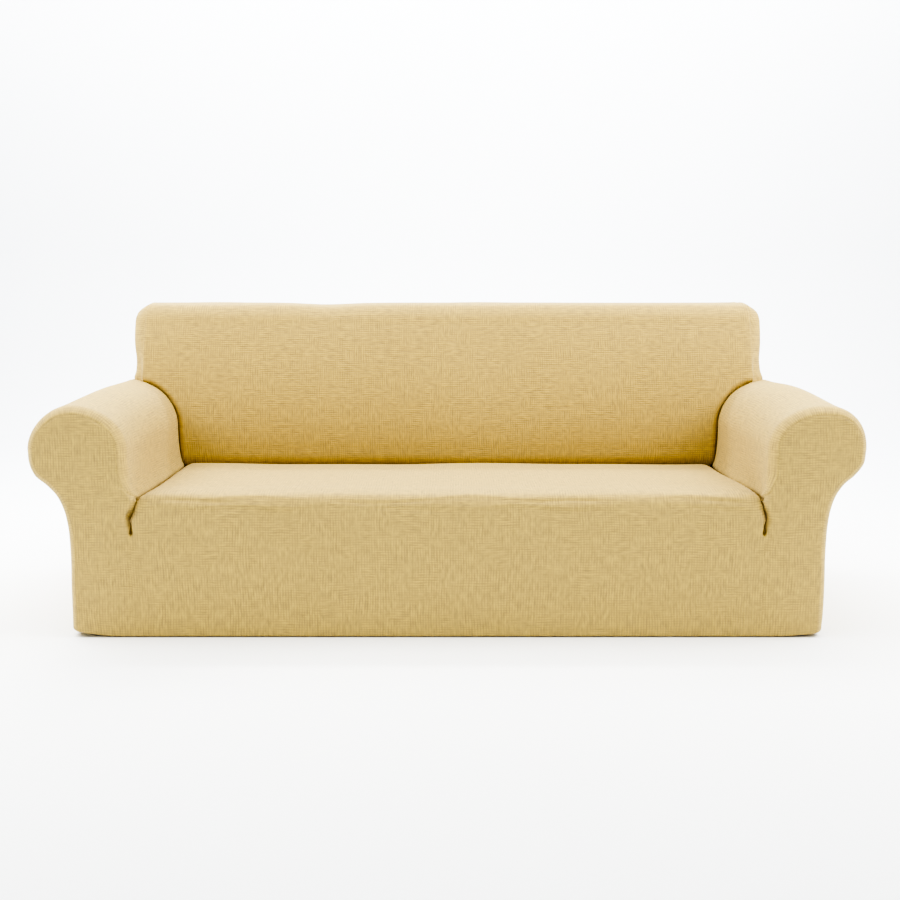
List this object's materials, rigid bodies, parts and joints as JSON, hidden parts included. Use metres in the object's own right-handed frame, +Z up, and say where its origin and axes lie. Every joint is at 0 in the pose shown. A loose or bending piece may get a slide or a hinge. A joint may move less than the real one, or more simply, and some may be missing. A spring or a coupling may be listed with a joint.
{
  "type": "sofa slipcover",
  "caption": "Fitted stretch slipcover in the form of a sofa with rolled arms, hollow and open at its elastic hem, pulled down over a sofa to cover it.",
  "frame": {"origin": "middle of the footprint, at the lowest line of the hem", "axes": "+X to the right of someone facing the sofa, +Y towards the back of the sofa, +Z up"},
  "size_m": [2.1043, 0.8918, 0.8415],
  "materials": {
    "stretch_knit": "matt stretch jacquard knit with a small check relief, warm sand beige"
  },
  "bodies": {
    "root": {"front_panel": "stretch_knit", "arm_panel_left": "stretch_knit", "arm_panel_right": "stretch_knit", "inside_back": "stretch_knit", "back_side_left": "stretch_knit", "back_side_right": "stretch_knit", "outside_back": "stretch_knit"}
  },
  "joints": []
}
